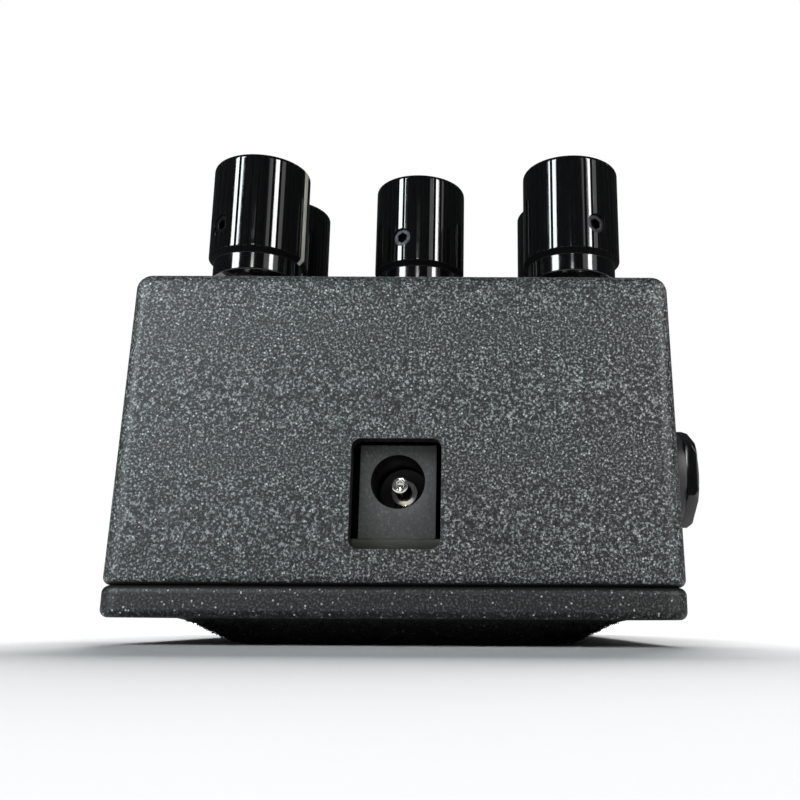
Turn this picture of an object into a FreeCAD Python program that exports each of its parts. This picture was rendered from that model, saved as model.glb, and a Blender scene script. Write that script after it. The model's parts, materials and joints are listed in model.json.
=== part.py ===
import FreeCAD, Part
import math
import os
import re

import Sketcher

# Guitar effects pedal in a die-cast box. Millimetres, +Z up, Y along the box: the power
# socket is in the -Y end and the footswitch is near the +Y end. The origin is the middle
# of the underside of the fibre pad that the pedal stands on.

V = FreeCAD.Vector
doc = FreeCAD.newDocument("effects_pedal")
sheet = doc.addObject("Spreadsheet::Sheet", "sizes")

SIZES = {
    # the box and its lid
    "case_long": 121.2, "case_wide": 66.1, "case_high": 37.35, "corner_round": 2.4,
    "draft_angle": 1.1, "wall": 2.3, "top_edge_round": 2.0, "seam_round": 0.9,
    "lid_thick": 3.55, "lid_recess": 1.2, "lid_rim": 8.0,
    "post_inset": 4.8, "post_radius": 4.0, "screw_radius": 1.7, "screw_play": 0.1,
    "screw_long": 14.0, "screw_head_radius": 3.3, "screw_head_high": 1.5,
    # the fibre pad under the lid
    "pad_thick": 3.0, "pad_wide": 57.6, "pad_long": 117.0, "pad_corner": 14.0,
    "pad_foot_wide": 40.0, "pad_foot_long": 102.0, "pad_foot_corner": 10.0,
    # controls: two rows of two, with one between them
    "row_near": 22.6, "row_mid": 33.5, "row_far": 41.5, "row_pitch": 46.0,
    "mid_lift": 2.4, "far_lift": 2.0,
    "knob_radius": 7.0, "knob_high": 14.9, "knob_gap": 9.1, "knob_top_round": 0.7,
    "knob_chamfer": 0.65, "neck_radius": 6.3, "neck_high": 2.6, "bore_play": 0.05,
    "flute_radius": 0.18, "flute_count": 45, "flute_depth": 0.17,
    "line_wide": 0.9, "line_deep": 0.6, "line_inner": 1.6,
    "grub_radius": 1.35, "grub_height": 4.5, "grub_sink": 0.35, "grub_socket": 0.8,
    "grub_turn": -118.0,
    # potentiometers
    "pot_wide": 9.8, "pot_long": 11.4, "pot_high": 6.6, "bushing_radius": 3.5,
    "neck_clear": 0.4, "shaft_radius": 3.0, "shaft_in_knob": 11.0, "shaft_flat": 0.5,
    "nut_across": 10.0, "nut_high": 2.2, "washer_radius": 5.6, "washer_thick": 0.6,
    # footswitch and lamp
    "switch_y": 37.0, "switch_wide": 17.4, "switch_high": 12.0, "switch_wall": 1.8,
    "switch_frame": 1.0, "sleeve_radius": 6.0, "sleeve_high": 14.0, "plunger_radius": 4.0,
    "plunger_out": 6.4, "flange_radius": 5.4, "flange_high": 1.6,
    "switch_nut_across": 15.0, "switch_nut_high": 2.4, "switch_inner_nut": 2.0,
    "switch_washer_radius": 9.0, "switch_washer": 1.0, "spring_radius": 3.4,
    "spring_wire": 0.3, "spring_turns": 5.0,
    "lamp_y": 8.0, "lamp_radius": 2.5, "lamp_high": 6.0, "bezel_radius": 4.0,
    "bezel_flange": 5.6, "bezel_high": 1.6,
    # boards
    "board_thick": 1.6, "main_board_y0": -51.0, "main_board_y1": 24.0,
    "main_board_wide": 57.6, "jack_board_y1": -12.0,
    "switch_board_size": 27.0,
    # sockets
    "dc_wide": 9.0, "dc_high": 11.0, "dc_deep": 14.2, "dc_recess": 3.4, "dc_lift": 9.0,
    "dc_axis": 6.7, "dc_bore": 3.2, "dc_depth": 11.0, "dc_pin": 1.0, "dc_pin_back": 2.9, "dc_collar": 1.7,
    "dc_cut_wide": 10.4, "dc_cut_high": 12.7, "dc_cut_round": 1.1, "dc_cut_lift": 7.6,
    "side_from_end": 18.2, "side_axis": 18.4, "side_bore": 3.25, "side_body_long": 24.0,
    "side_body_wide": 17.0, "side_body_high": 19.0, "side_bushing": 4.7,
    "side_hole_play": 0.25, "side_nut_radius": 6.55, "side_nut_high": 1.5,
    "side_washer": 3.2, "side_washer_radius": 6.0, "side_proud": 4.9,
    "side_nut_turn": -2.9, "side_stagger": 10.2,
}
for row, (alias, value) in enumerate(SIZES.items(), start=1):
    sheet.set(f"A{row}", alias)
    sheet.set(f"B{row}", str(value))
    sheet.setAlias(f"B{row}", alias)
doc.recompute()

WORD = re.compile(r"[A-Za-z_][A-Za-z_0-9]*")

# Levels and places that follow from the sheet, each as an expression on it.
LEVELS = {
    "lid_bottom": "pad_thick",
    "lid_top": "pad_thick + lid_thick",
    "panel_top": "pad_thick + lid_thick + case_high",
    "panel_under": "panel_top - wall",
    "pot_bottom": "panel_under - pot_high",
    "board_bottom": "pot_bottom - board_thick",
    "end_y": "case_long / 2",
    "side_x": "case_wide / 2",
    "dc_bottom": "lid_bottom + dc_lift",
    "dc_centre": "dc_bottom + dc_axis",
    "dc_face": "0 - end_y + dc_recess",
    "jack_board_bottom": "dc_bottom - board_thick",
    "side_z": "lid_bottom + side_axis",
    "side_y": "side_from_end - end_y",
    "sleeve_bottom": "panel_under - switch_inner_nut - 1",
    "switch_top": "sleeve_bottom - switch_frame",
    "switch_bottom": "switch_top - switch_high",
    "plunger_top": "sleeve_bottom + sleeve_high + plunger_out",
    "flange_top": "sleeve_bottom - switch_frame",
    "flange_bottom": "flange_top - flange_high",
    "cavity_bottom": "switch_bottom + switch_wall",
}


def bind(text):
    """Writes an expression of size and level names in terms of the spreadsheet."""
    def swap(match):
        word = match.group(0)
        if word in LEVELS:
            return f"({bind(LEVELS[word])})"
        return f"sizes.{word}" if word in SIZES else word
    return WORD.sub(swap, str(text))


def value(text):
    """The number that an expression of size and level names comes to."""
    def swap(match):
        word = match.group(0)
        if word in LEVELS:
            return f"({value(LEVELS[word])})"
        return str(SIZES[word])
    holder = doc.getObject("numbers") or doc.addObject("App::FeaturePython", "numbers")
    if "result" not in holder.PropertiesList:
        holder.addProperty("App::PropertyFloat", "result")
    holder.setExpression("result", WORD.sub(swap, str(text)))
    holder.recompute()
    return holder.result


NODES = []


def node(thing, name):
    """Marks an object of the document as one finished piece."""
    thing.Label = name
    NODES.append(thing)
    return thing


# ---------------------------------------------------------------- solid primitives

AXES = {
    "z": FreeCAD.Rotation(),
    "x": FreeCAD.Rotation(V(0, 1, 0), 90),
    "-x": FreeCAD.Rotation(V(0, 1, 0), -90),
    "y": FreeCAD.Rotation(V(1, 0, 0), -90),
    "-y": FreeCAD.Rotation(V(1, 0, 0), 90),
}


def place(thing, at, axis="z", turn=0):
    thing.Placement = FreeCAD.Placement(V(), AXES[axis] * FreeCAD.Rotation(V(0, 0, 1), turn))
    for letter, text in zip("xyz", at):
        thing.setExpression(f"Placement.Base.{letter}", bind(text))
    return thing


def box(size, centre, low):
    """A box centred on an x, y pair of expressions, with its underside at low."""
    solid = doc.addObject("Part::Box", "box")
    for name, text in zip(("Length", "Width", "Height"), size):
        solid.setExpression(name, bind(text))
    corner = (f"({centre[0]}) - ({size[0]}) / 2", f"({centre[1]}) - ({size[1]}) / 2", low)
    return place(solid, corner)


def rod(radius, length, at, axis="z"):
    solid = doc.addObject("Part::Cylinder", "rod")
    solid.setExpression("Radius", bind(radius))
    solid.setExpression("Height", bind(length))
    return place(solid, at, axis)


def cone(radius_1, radius_2, length, at, axis="z"):
    solid = doc.addObject("Part::Cone", "cone")
    solid.setExpression("Radius1", bind(radius_1))
    solid.setExpression("Radius2", bind(radius_2))
    solid.setExpression("Height", bind(length))
    return place(solid, at, axis)


def hexagon(circumradius, length, at, axis="z", turn=0):
    solid = doc.addObject("Part::Prism", "hexagon")
    solid.Polygon = 6
    solid.setExpression("Circumradius", bind(circumradius))
    solid.setExpression("Height", bind(length))
    return place(solid, at, axis, turn)


def fuse(*pieces):
    joined = doc.addObject("Part::MultiFuse", "joined")
    joined.Shapes = list(pieces)
    joined.Refine = True
    return joined


def cut(base, *tools):
    less = doc.addObject("Part::Cut", "less")
    less.Base = base
    less.Tool = tools[0] if len(tools) == 1 else fuse(*tools)
    return less


def common(one, other):
    both = doc.addObject("Part::Common", "both")
    both.Base = one
    both.Tool = other
    return both


def group(pieces, name):
    """Several identical separate solids that share one node."""
    together = doc.addObject("Part::Compound", name)
    together.Links = list(pieces)
    return node(together, name)


def nut(circumradius, length, bore, at, axis="z", turn=0):
    """A hex nut, its outer corners turned down to a shallow cone."""
    corners = cone(f"{circumradius} * 1.10", f"{circumradius} * 0.93", length, at, axis)
    blank = common(hexagon(circumradius, length, at, axis, turn), corners)
    return cut(blank, rod(bore, length, at, axis))


def ring(outer, inner, length, at, axis="z"):
    return cut(rod(outer, length, at, axis), rod(inner, length, at, axis))


# ---------------------------------------------------------------- sketches and bodies

def plane(body, role):
    return next(f for f in body.Origin.OriginFeatures if f.Role == role)


def new_body(name):
    return doc.addObject("PartDesign::Body", name)


def sketch_on(body, role, offset="0"):
    sketch = body.newObject("Sketcher::SketchObject", "sketch")
    sketch.AttachmentSupport = [(plane(body, role), "")]
    sketch.MapMode = "FlatFace"
    sketch.setExpression("AttachmentOffset.Base.z", bind(offset))
    return sketch


def bound(sketch, constraint, text):
    index = sketch.addConstraint(constraint)
    sketch.setExpression(f"Constraints[{index}]", bind(text))


def add_circle(sketch, radius, x="0", y="0"):
    start = Part.Circle(V(value(x), value(y), 0), V(0, 0, 1), value(radius))
    circle = sketch.addGeometry(start, False)
    bound(sketch, Sketcher.Constraint("DistanceX", -1, 1, circle, 3, value(x)), x)
    bound(sketch, Sketcher.Constraint("DistanceY", -1, 1, circle, 3, value(y)), y)
    bound(sketch, Sketcher.Constraint("Radius", circle, value(radius)), radius)


def add_rounded_rectangle(sketch, wide, high, radius, x="0", y="0"):
    """Four lines and four tangent arcs about the centre x, y."""
    half_w, half_h, r = value(wide) / 2, value(high) / 2, value(radius)
    cx, cy = value(x), value(y)
    arcs = []
    for corner, (sx, sy) in enumerate(((1, 1), (-1, 1), (-1, -1), (1, -1))):
        centre = V(cx + sx * (half_w - r), cy + sy * (half_h - r), 0)
        start = corner * math.pi / 2
        circle = Part.Circle(centre, V(0, 0, 1), r)
        arcs.append(sketch.addGeometry(Part.ArcOfCircle(circle, start, start + math.pi / 2)))
    lines = []
    for first in range(4):
        second = (first + 1) % 4
        p = sketch.Geometry[arcs[first]].EndPoint
        q = sketch.Geometry[arcs[second]].StartPoint
        lines.append(sketch.addGeometry(Part.LineSegment(p, q)))
    for first in range(4):
        second = (first + 1) % 4
        line = lines[first]
        sketch.addConstraint(Sketcher.Constraint("Tangent", arcs[first], 2, line, 1))
        sketch.addConstraint(Sketcher.Constraint("Tangent", line, 2, arcs[second], 1))
        level = "Horizontal" if first % 2 == 0 else "Vertical"
        sketch.addConstraint(Sketcher.Constraint(level, line))
        if first:
            sketch.addConstraint(Sketcher.Constraint("Equal", arcs[0], arcs[first]))
    bound(sketch, Sketcher.Constraint("Radius", arcs[0], r), radius)
    top, left, bottom, right = lines
    for kind, line, text in (("DistanceX", right, f"({x}) + ({wide}) / 2"),
                             ("DistanceX", left, f"({x}) - ({wide}) / 2"),
                             ("DistanceY", top, f"({y}) + ({high}) / 2"),
                             ("DistanceY", bottom, f"({y}) - ({high}) / 2")):
        bound(sketch, Sketcher.Constraint(kind, -1, 1, line, 1, value(text)), text)


def add_polygon(sketch, points):
    """A closed outline of straight lines; each corner is a pair of expressions."""
    corners = [V(value(x), value(y), 0) for x, y in points]
    count = len(corners)
    lines = [sketch.addGeometry(Part.LineSegment(corners[i], corners[(i + 1) % count]))
             for i in range(count)]
    for i in range(count):
        follower = lines[(i + 1) % count]
        sketch.addConstraint(Sketcher.Constraint("Coincident", lines[i], 2, follower, 1))
    for i, (x, y) in enumerate(points):
        bound(sketch, Sketcher.Constraint("DistanceX", -1, 1, lines[i], 1, value(x)), x)
        bound(sketch, Sketcher.Constraint("DistanceY", -1, 1, lines[i], 1, value(y)), y)


def pad(body, sketch, length, draft=None):
    feature = body.newObject("PartDesign::Pad", "pad")
    feature.Profile = sketch
    feature.setExpression("Length", bind(length))
    if draft:
        feature.setExpression("TaperAngle", bind(draft))
    doc.recompute()
    return feature


def pocket(body, sketch, length, upward=False, draft=None):
    """Cuts along the sketch's normal if upward, and against it otherwise."""
    before = body.Shape.Volume
    feature = body.newObject("PartDesign::Pocket", "pocket")
    feature.Profile = sketch
    feature.Reversed = upward
    feature.setExpression("Length", bind(length))
    if draft:
        feature.setExpression("TaperAngle", bind(draft))
    doc.recompute()
    if body.Shape.Volume >= before - 1e-6:
        raise RuntimeError(f"a pocket in {body.Label} cuts nothing")
    return feature


def edges_at(shape, level, tolerance=0.01):
    """Names of the edges that lie flat at one height."""
    names = []
    for index, edge in enumerate(shape.Edges, start=1):
        bounds = edge.BoundBox
        if abs(bounds.ZMin - level) < tolerance and abs(bounds.ZMax - level) < tolerance:
            names.append(f"Edge{index}")
    return names


def round_edges(body, names, radius, kind="Fillet"):
    base = body.Tip
    feature = body.newObject(f"PartDesign::{kind}", kind.lower())
    feature.Base = (base, names)
    feature.setExpression("Radius" if kind == "Fillet" else "Size", bind(radius))
    doc.recompute()
    return feature


# ---------------------------------------------------------------- box, lid and pad

# The input socket is in the +X side; the output socket, in the -X side, is further back.
SIDE_SOCKETS = [(1, "side_y"), (-1, "side_y + side_stagger")]

POSTS = [(f"{sx} * (side_x - post_inset)", f"{sy} * (end_y - post_inset)")
         for sx in (-1, 1) for sy in (-1, 1)]


def rows():
    """Name, x, y, lift of the knob above its neighbours and rest angle of each control."""
    half = "row_pitch / 2"
    return [
        ("near_left", f"0 - {half}", "row_near - end_y", "0", -12.0),
        ("near_right", half, "row_near - end_y", "0", 54.0),
        ("centre", "0", "row_mid - end_y", "mid_lift", 7.7),
        ("far_left", f"0 - {half}", "row_far - end_y", "far_lift", -90.0),
        ("far_right", half, "row_far - end_y", "far_lift", -130.0),
    ]


def make_enclosure():
    """A die-cast box, open at the bottom, with a screw post in each corner."""
    body = new_body("enclosure")
    outline = sketch_on(body, "XY_Plane", "lid_top")
    add_rounded_rectangle(outline, "case_wide", "case_long", "corner_round")
    pad(body, outline, "case_high", "0 - draft_angle")
    round_edges(body, edges_at(body.Shape, value("panel_top")), "top_edge_round")
    round_edges(body, edges_at(body.Shape, value("lid_top")), "seam_round")
    inside = sketch_on(body, "XY_Plane", "lid_top")
    add_rounded_rectangle(inside, "case_wide - 2 * wall", "case_long - 2 * wall",
                          "corner_round - 1")
    pocket(body, inside, "case_high - wall", upward=True, draft="0 - draft_angle")
    posts = sketch_on(body, "XY_Plane", "lid_top")
    for x, y in POSTS:
        add_circle(posts, "post_radius", x, y)
    pad(body, posts, "case_high - wall / 2")
    threads = sketch_on(body, "XY_Plane", "lid_top")
    for x, y in POSTS:
        add_circle(threads, "screw_radius + screw_play", x, y)
    pocket(body, threads, "screw_long", upward=True)
    openings = sketch_on(body, "XY_Plane", "panel_top + 1")
    for _, x, y, _, _ in rows():
        add_circle(openings, "bushing_radius + 0.1", x, y)
    add_circle(openings, "sleeve_radius + 0.15", "0", "switch_y")
    add_circle(openings, "bezel_radius + 0.1", "0", "lamp_y")
    pocket(body, openings, "wall + 2")
    for side, y in SIDE_SOCKETS:
        socket = sketch_on(body, "YZ_Plane")
        add_circle(socket, "side_bushing + side_hole_play", y, "side_z")
        pocket(body, socket, "case_wide", upward=side > 0)
    power = sketch_on(body, "XZ_Plane")
    add_rounded_rectangle(power, "dc_cut_wide", "dc_cut_high", "dc_cut_round", "0",
                          "lid_bottom + dc_cut_lift + dc_cut_high / 2")
    pocket(body, power, "case_long", upward=True)
    return node(body, "enclosure_body")


def make_lid():
    """The plate that closes the box, with countersunk corner holes."""
    body = new_body("lid")
    outline = sketch_on(body, "XY_Plane", "lid_bottom")
    add_rounded_rectangle(outline, "case_wide", "case_long", "corner_round")
    pad(body, outline, "lid_thick")
    round_edges(body, edges_at(body.Shape, value("lid_top")), "seam_round")
    round_edges(body, edges_at(body.Shape, value("lid_bottom")), "seam_round")
    recess = sketch_on(body, "XY_Plane", "lid_top")
    add_rounded_rectangle(recess, "case_wide - 2 * lid_rim - 4", "case_long - 2 * lid_rim - 4",
                          "3")
    pocket(body, recess, "lid_recess")
    holes = sketch_on(body, "XY_Plane", "lid_top")
    for x, y in POSTS:
        add_circle(holes, "screw_radius + 0.3", x, y)
    pocket(body, holes, "lid_thick + 1")
    rims = [name for name in edges_at(body.Shape, value("lid_bottom"))
            if body.Shape.getElement(name).Length < 8 * value("screw_radius")
            and isinstance(body.Shape.getElement(name).Curve, Part.Circle)
            and body.Shape.getElement(name).Curve.Radius < value("screw_radius + 0.4")]
    round_edges(body, rims, "screw_head_radius - screw_radius - 0.2", "Chamfer")
    return node(body, "base_plate")


def make_lid_screws():
    """Countersunk machine screws with a cross recess."""
    screws = []
    for x, y in POSTS:
        foot = "lid_bottom + 0.1"
        head = cone("screw_head_radius", "screw_radius", "screw_head_high", (x, y, foot))
        shank = rod("screw_radius", "screw_long", (x, y, foot))
        arms = [box(size, (x, y), "lid_bottom - 1")
                for size in (("4", "0.9", "2.1"), ("0.9", "4", "2.1"))]
        screws.append(cut(fuse(head, shank), *arms))
    return group(screws, "base_plate_screws")


def make_pad():
    """A hook-and-loop pad whose edge thins out towards the floor."""
    body = new_body("fibre_pad")
    upper = sketch_on(body, "XY_Plane", "lid_bottom")
    add_rounded_rectangle(upper, "pad_wide", "pad_long", "pad_corner")
    middle = sketch_on(body, "XY_Plane", "pad_thick * 0.35")
    add_rounded_rectangle(middle, "pad_foot_wide * 0.3 + pad_wide * 0.7",
                          "pad_foot_long * 0.3 + pad_long * 0.7",
                          "pad_foot_corner * 0.3 + pad_corner * 0.7")
    foot = sketch_on(body, "XY_Plane")
    add_rounded_rectangle(foot, "pad_foot_wide", "pad_foot_long", "pad_foot_corner")
    loft = body.newObject("PartDesign::AdditiveLoft", "loft")
    loft.Profile = foot
    loft.Sections = [middle, upper]
    loft.Ruled = True
    doc.recompute()
    return node(body, "fibre_pad")


# ---------------------------------------------------------------- controls

def fluted_blank(name, x, y, low):
    """A turned knob with a narrower neck, fluted all round its main body."""
    body = new_body(f"blank_{name}")
    profile = sketch_on(body, "XZ_Plane")
    add_polygon(profile, [
        ("0", "0"), ("neck_radius", "0"), ("neck_radius", "neck_high"),
        ("knob_radius", "neck_high + knob_chamfer"),
        ("knob_radius", "neck_high + knob_high"), ("0", "neck_high + knob_high")])
    turned = body.newObject("PartDesign::Revolution", "turned")
    turned.Profile = profile
    turned.ReferenceAxis = (profile, ["V_Axis"])
    turned.Angle = 360
    doc.recompute()
    round_edges(body, edges_at(body.Shape, value("neck_high + knob_high")), "knob_top_round")
    bore = sketch_on(body, "XY_Plane")
    add_circle(bore, "shaft_radius + bore_play")
    pocket(body, bore, "shaft_in_knob + 1", upward=True)
    flute = sketch_on(body, "XY_Plane", "neck_high")
    add_circle(flute, "flute_radius", "knob_radius + flute_radius - flute_depth", "0")
    first = pocket(body, flute, "knob_high + 1", upward=True)
    flutes = body.newObject("PartDesign::PolarPattern", "flutes")
    flutes.Originals = [first]
    flutes.Axis = (profile, ["V_Axis"])
    flutes.Angle = 360
    flutes.Occurrences = int(value("flute_count"))
    body.Tip = flutes
    doc.recompute()
    return place(body, (x, y, low))


def turned_box(size, reach, x, y, low, angle):
    """A box that lies across a radius: reach is how far its inner face is from the axis."""
    solid = doc.addObject("Part::Box", "bar")
    for name, text in zip(("Length", "Width", "Height"), size):
        solid.setExpression(name, bind(text))
    aim = math.radians(angle)
    half = value(size[1]) / 2
    dx = value(reach) * math.cos(aim) + half * math.sin(aim)
    dy = value(reach) * math.sin(aim) - half * math.cos(aim)
    solid.Placement = FreeCAD.Placement(V(), FreeCAD.Rotation(V(0, 0, 1), angle))
    for letter, text in (("x", f"{x} + {dx:.6f}"), ("y", f"{y} + {dy:.6f}"), ("z", low)):
        solid.setExpression(f"Placement.Base.{letter}", bind(text))
    return solid


def radial(kind, radius, length, reach, x, y, level, angle):
    """A rod or hexagon that lies along a radius, from reach outwards."""
    solid = doc.addObject(f"Part::{kind}", "radial")
    if kind == "Prism":
        solid.Polygon = 6
    solid.setExpression("Circumradius" if kind == "Prism" else "Radius", bind(radius))
    solid.setExpression("Height", bind(length))
    aim = math.radians(angle)
    start = value(reach)
    spin = FreeCAD.Rotation(V(0, 0, 1), angle) * FreeCAD.Rotation(V(0, 1, 0), 90)
    solid.Placement = FreeCAD.Placement(V(), spin)
    for letter, text in (("x", f"{x} + {start * math.cos(aim):.6f}"),
                         ("y", f"{y} + {start * math.sin(aim):.6f}"), ("z", level)):
        solid.setExpression(f"Placement.Base.{letter}", bind(text))
    return solid


def make_control(name, x, y, lift, angle):
    """Knob, its inlaid pointer line, grub screw and shaft, and the pot that they turn."""
    low = f"panel_top + knob_gap - neck_high + {lift}"
    blank = fluted_blank(name, x, y, low)
    side = turned_box(("line_deep + 2", "line_wide", "knob_high"), "knob_radius - line_deep",
                      x, y, f"{low} + neck_high", angle)
    top = turned_box(("knob_radius - line_inner", "line_wide", "line_deep + 1"), "line_inner",
                     x, y, f"{low} + neck_high + knob_high - line_deep", angle)
    line = fuse(side, top)
    node(common(blank, line), f"pointer_line_{name}")
    grub_angle = angle + value("grub_turn")
    grub_z = f"{low} + neck_high + grub_height"
    hole = radial("Cylinder", "grub_radius + 0.05", "knob_radius", "1", x, y, grub_z, grub_angle)
    node(cut(blank, line, hole), f"knob_{name}")
    inner = "shaft_radius - shaft_flat + 0.02"
    outer = "knob_radius - grub_sink"
    screw = radial("Cylinder", "grub_radius", f"{outer} - ({inner})", inner, x, y, grub_z,
                   grub_angle)
    socket = radial("Prism", "grub_socket", "2", f"{outer} - 1.2", x, y, grub_z, grub_angle)
    node(cut(screw, socket), f"grub_screw_{name}")
    shaft_low = "pot_bottom + 1"
    shaft = rod("shaft_radius", f"{low} + shaft_in_knob - ({shaft_low})", (x, y, shaft_low))
    flat = turned_box(("2", "8", "shaft_in_knob + 1"), "shaft_radius - shaft_flat", x, y,
                      f"{low}", grub_angle)
    node(cut(shaft, flat), f"pot_shaft_{name}")


def make_pot_hardware():
    """Cases, threaded bushings, nuts, washers and terminals of the five pots."""
    cases, bushings, nuts, washers, terminals = [], [], [], [], []
    for _, x, y, lift, _ in rows():
        case = box(("pot_wide", "pot_long", "pot_high"), (x, y), "pot_bottom")
        well = rod("shaft_radius + bore_play", "pot_high", (x, y, "pot_bottom + 0.9"))
        cases.append(cut(case, well))
        bushings.append(ring("bushing_radius", "shaft_radius + bore_play",
                             f"wall + knob_gap - neck_high - neck_clear + {lift}",
                             (x, y, "panel_under")))
        washers.append(ring("washer_radius", "bushing_radius + 0.02", "washer_thick",
                            (x, y, "panel_top")))
        nuts.append(nut("nut_across / 1.732", "nut_high", "bushing_radius + 0.02",
                        (x, y, "panel_top + washer_thick"), turn=15))
        for step in (-1, 0, 1):
            terminals.append(box(("0.8", "0.4", "3.4"), (f"{x} + {step} * 2.5",
                                 f"{y} + pot_long / 2 - 0.6"), "pot_bottom - 3.4"))
    group(cases, "pot_bodies")
    group(bushings, "pot_bushings")
    group(washers, "pot_washers")
    group(nuts, "pot_nuts")
    group(terminals, "pot_terminals")


# ---------------------------------------------------------------- footswitch and lamp

def make_footswitch():
    """A latching foot switch held in the panel by two nuts on its threaded sleeve."""
    y = "switch_y"
    shell = box(("switch_wide", "switch_wide", "switch_high"), ("0", y), "switch_bottom")
    hollow = rod("flange_radius + 0.4", "switch_high", ("0", y, "cavity_bottom"))
    node(cut(shell, hollow), "footswitch_body")
    frame = box(("switch_wide + 0.6", "switch_wide + 0.6", "switch_frame"), ("0", y),
                "switch_top")
    node(cut(frame, rod("plunger_radius + 0.05", "switch_frame", ("0", y, "switch_top"))),
         "footswitch_frame")
    node(ring("sleeve_radius", "plunger_radius + 0.05", "sleeve_high",
              ("0", y, "sleeve_bottom")), "footswitch_sleeve")
    stem = rod("plunger_radius", "plunger_top - (flange_top)", ("0", y, "flange_top"))
    button = doc.addObject("Part::Fillet", "button")
    button.Base = stem
    doc.recompute()
    rim = edges_at(stem.Shape, value("plunger_top"))
    button.Edges = [(int(rim[0].replace("Edge", "")), 1.2, 1.2)]
    flange = rod("flange_radius", "flange_high - 0.1", ("0", y, "flange_bottom"))
    neck = rod("plunger_radius", "0.2", ("0", y, "flange_top - 0.15"))
    node(fuse(button, neck, flange), "footswitch_plunger")
    node(nut("switch_nut_across / 1.732", "switch_nut_high", "sleeve_radius + 0.02",
             ("0", y, "panel_top + switch_washer"), turn=15), "footswitch_nut")
    node(ring("switch_washer_radius", "sleeve_radius + 0.02", "switch_washer",
              ("0", y, "panel_top")), "footswitch_washer")
    node(ring("sleeve_radius + 2.2", "sleeve_radius + 0.02", "switch_inner_nut",
              ("0", y, "panel_under - switch_inner_nut")), "footswitch_inner_nut")
    lugs = [box(("2.2", "0.8", "4.2"), (f"{column} * 4.8", f"switch_y + {line} * 5.2"),
                "switch_bottom - 4.2") for column in (-1, 0, 1) for line in (-1, 0, 1)]
    group(lugs, "footswitch_lugs")
    make_switch_spring()


def make_switch_spring():
    """Compression spring between the switch's floor and the plunger's flange."""
    body = new_body("spring")
    section = sketch_on(body, "XZ_Plane")
    add_circle(section, "spring_wire", "spring_radius", "0")
    coil = body.newObject("PartDesign::AdditiveHelix", "coil")
    coil.Profile = section
    coil.ReferenceAxis = (section, ["V_Axis"])
    coil.Mode = "pitch-height-angle"
    rise = "flange_bottom - (cavity_bottom) - 2 * spring_wire - 0.1"
    coil.setExpression("Height", bind(rise))
    coil.setExpression("Pitch", bind(f"({rise}) / spring_turns"))
    doc.recompute()
    place(body, ("0", "switch_y", "cavity_bottom + spring_wire"))
    node(body, "footswitch_spring")


def make_lamp():
    """A five millimetre lamp in a chromed holder."""
    top = "panel_top + bezel_high"
    flange = cone("bezel_flange", "bezel_flange - 0.9", "bezel_high", ("0", "lamp_y",
                                                                      "panel_top"))
    tube = rod("bezel_radius", "wall + 3", ("0", "lamp_y", "panel_top - wall - 3"))
    bore = rod("lamp_radius + 0.05", "12", ("0", "lamp_y", "panel_top - 8"))
    node(cut(fuse(flange, tube), bore), "lamp_bezel")
    barrel = rod("lamp_radius", "lamp_high", ("0", "lamp_y", f"{top} - lamp_high"))
    dome = doc.addObject("Part::Sphere", "dome")
    dome.setExpression("Radius", bind("lamp_radius"))
    place(dome, ("0", "lamp_y", top))
    node(fuse(barrel, dome), "lamp")
    legs = [rod("0.25", f"{top} - lamp_high - (board_bottom)",
                (f"{side} * 1.27", "lamp_y", "board_bottom")) for side in (-1, 1)]
    group(legs, "lamp_leads")


# ---------------------------------------------------------------- boards

def make_main_board():
    """The circuit board that carries the pots, under the panel."""
    body = new_body("main_board")
    outline = sketch_on(body, "XY_Plane", "board_bottom")
    add_rounded_rectangle(outline, "main_board_wide", "main_board_y1 - main_board_y0", "1.5",
                          "0", "(main_board_y1 + main_board_y0) / 2")
    pad(body, outline, "board_thick")
    node(body, "main_board")


def make_main_board_parts():
    """The parts that hang under the main board."""
    face = "board_bottom"
    chips, legs = [], []
    for x, y in (("0 - 12", "0"), ("12", "0")):
        chips.append(box(("6.4", "9.6", "3.3"), (x, y), f"{face} - 4"))
        for side in (-1, 1):
            for step in range(4):
                legs.append(box(("0.3", "0.6", "4"), (f"{x} + {side} * 3.6",
                                f"{y} + {step * 2.54 - 3.81}"), f"{face} - 3"))
    group(chips, "amplifier_chips")
    group(legs, "chip_legs")
    cans = [rod("2.5", "8", (x, y, f"{face} - 8")) for x, y in
            (("0 - 22", "0 - 4"), ("0 - 22", "4"), ("22", "0 - 4"), ("22", "4"), ("0", "16"))]
    group(cans, "electrolytic_capacitors")
    films = [box(("7.2", "2.6", "6.5"), (x, y), f"{face} - 6.5") for x, y in
             (("0 - 12", "12"), ("0 - 12", "16"), ("12", "12"), ("12", "16"))]
    group(films, "film_capacitors")
    resistors = []
    for column in range(6):
        x = f"{column * 2.6 - 6.5}"
        tube = rod("1.1", "6", (x, "3", f"{face} - 1.5"), "-y")
        wire = box(("0.5", "9", "0.5"), (x, "0"), f"{face} - 1.75")
        ends = [box(("0.5", "0.5", "2.6"), (x, y), f"{face} - 1.6") for y in ("0 - 4.25", "4.25")]
        resistors.append(fuse(tube, wire, *ends))
    group(resistors, "resistors")


def make_jack_board():
    """The lower board, cut away round the corner posts, that carries the three sockets."""
    body = new_body("jack_board")
    outline = sketch_on(body, "XY_Plane", "jack_board_bottom")
    front = "0 - end_y + wall + 0.6"
    notch = "0 - end_y + post_inset + post_radius + 1"
    narrow, broad = "side_x - post_inset - post_radius - 1", "side_x - wall - 1"
    add_polygon(outline, [
        (f"0 - ({narrow})", front), (narrow, front), (narrow, notch), (broad, notch),
        (broad, "jack_board_y1"), (f"0 - ({broad})", "jack_board_y1"),
        (f"0 - ({broad})", notch), (f"0 - ({narrow})", notch)])
    pad(body, outline, "board_thick")
    node(body, "jack_board")


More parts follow.
